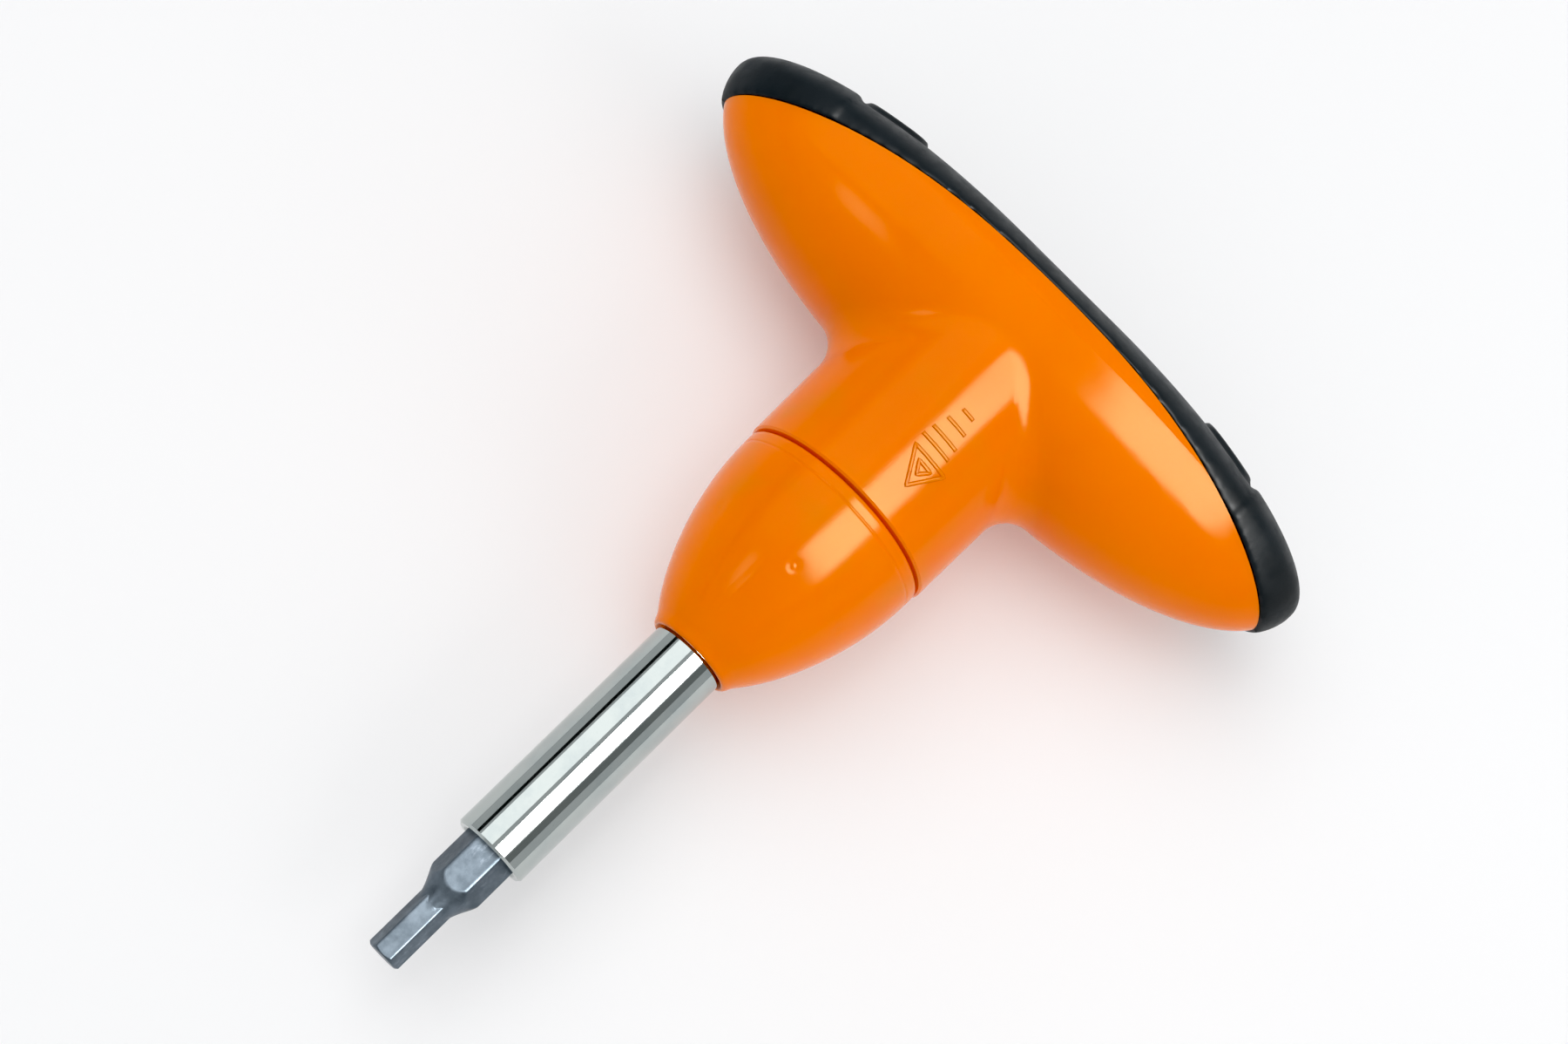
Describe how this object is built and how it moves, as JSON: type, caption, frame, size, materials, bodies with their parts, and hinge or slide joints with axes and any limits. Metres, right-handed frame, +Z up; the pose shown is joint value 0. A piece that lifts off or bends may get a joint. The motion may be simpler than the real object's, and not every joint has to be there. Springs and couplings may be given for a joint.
{
  "type": "torque limiting t-handle driver",
  "caption": "Preset torque T-handle driver: moulded T-bar handle with soft cap, cone nose, ball and cam slip clutch, magnetic hex bit holder and hex key insert bit.",
  "frame": {"origin": "centre of the hex key's tip face, on the drive axis", "axes": "+X along the drive axis from the tip towards the handle, +Y along the T-bar, +Z up, square to the flat of the T, with the tool lying on its side"},
  "size_m": [0.1143, 0.0954, 0.0304],
  "materials": {
    "handle_orange": "glossy moulded plastic, slightly translucent",
    "cap_rubber": "satin soft-touch rubber",
    "holder_chrome": "polished chrome plate",
    "bit_steel": "satin grey tool steel",
    "spring_steel": "oiled spring steel",
    "magnet_nickel": "nickel plate",
    "hardened_steel": "ground hardened steel",
    "cam_steel": "greased sintered steel",
    "sleeve_zinc": "die cast zinc",
    "cage_brass": "stamped brass",
    "bushing_acetal": "black acetal",
    "seal_rubber": "dark red nitrile rubber",
    "carrier_nylon": "black glass-filled nylon",
    "screw_steel": "zinc plated"
  },
  "bodies": {
    "handle": {"handle_body": "handle_orange", "grip_cap": "cap_rubber", "cap_carrier": "carrier_nylon", "cap_screws": "screw_steel", "nose_cone": "handle_orange", "nose_bushing": "bushing_acetal", "dust_seal": "seal_rubber", "clutch_sleeve": "sleeve_zinc", "front_thrust_washer": "hardened_steel", "upper_spring_seat": "hardened_steel", "preset_plug": "sleeve_zinc", "plug_lock_ring": "spring_steel", "clutch_spring": "spring_steel"},
    "output": {"drive_shaft": "hardened_steel", "bit_holder": "holder_chrome", "bit_magnet": "magnet_nickel", "bit_retaining_ring": "spring_steel", "holder_pin": "hardened_steel", "cam_pin": "hardened_steel", "driven_cam": "cam_steel", "rear_thrust_washer": "hardened_steel"},
    "thrust_race": {"thrust_cage": "cage_brass", "thrust_balls": "hardened_steel"},
    "lift_cam": {"sliding_cam": "cam_steel", "lower_spring_seat": "hardened_steel"},
    "insert_bit": {"drive_bit": "bit_steel"}
  },
  "joints": [
    {"name": "clutch_slip", "type": "hinge", "parent": "handle", "child": "output", "pos_m": [0.0725, 0, 0], "axis": [1, 0, 0], "range_deg": [0, 30]},
    {"name": "clutch_lift", "type": "slide", "parent": "handle", "child": "lift_cam", "axis": [1, 0, 0], "range_m": [0, 0.002], "stiffness_N_per_m": 2500, "springref_m": -0.004, "deforming": ["clutch_spring"]},
    {"name": "thrust_roll", "type": "hinge", "parent": "handle", "child": "thrust_race", "pos_m": [0.0666, 0, 0], "axis": [1, 0, 0], "range_deg": [0, 15]},
    {"name": "bit_pull", "type": "slide", "parent": "output", "child": "insert_bit", "axis": [-1, 0, 0], "range_m": [0, 0.012]}
  ],
  "couplings": [
    {"joint": "clutch_slip", "follows": "clutch_lift", "rad_per_m": 261.8},
    {"joint": "thrust_roll", "follows": "clutch_lift", "rad_per_m": 130.9}
  ]
}
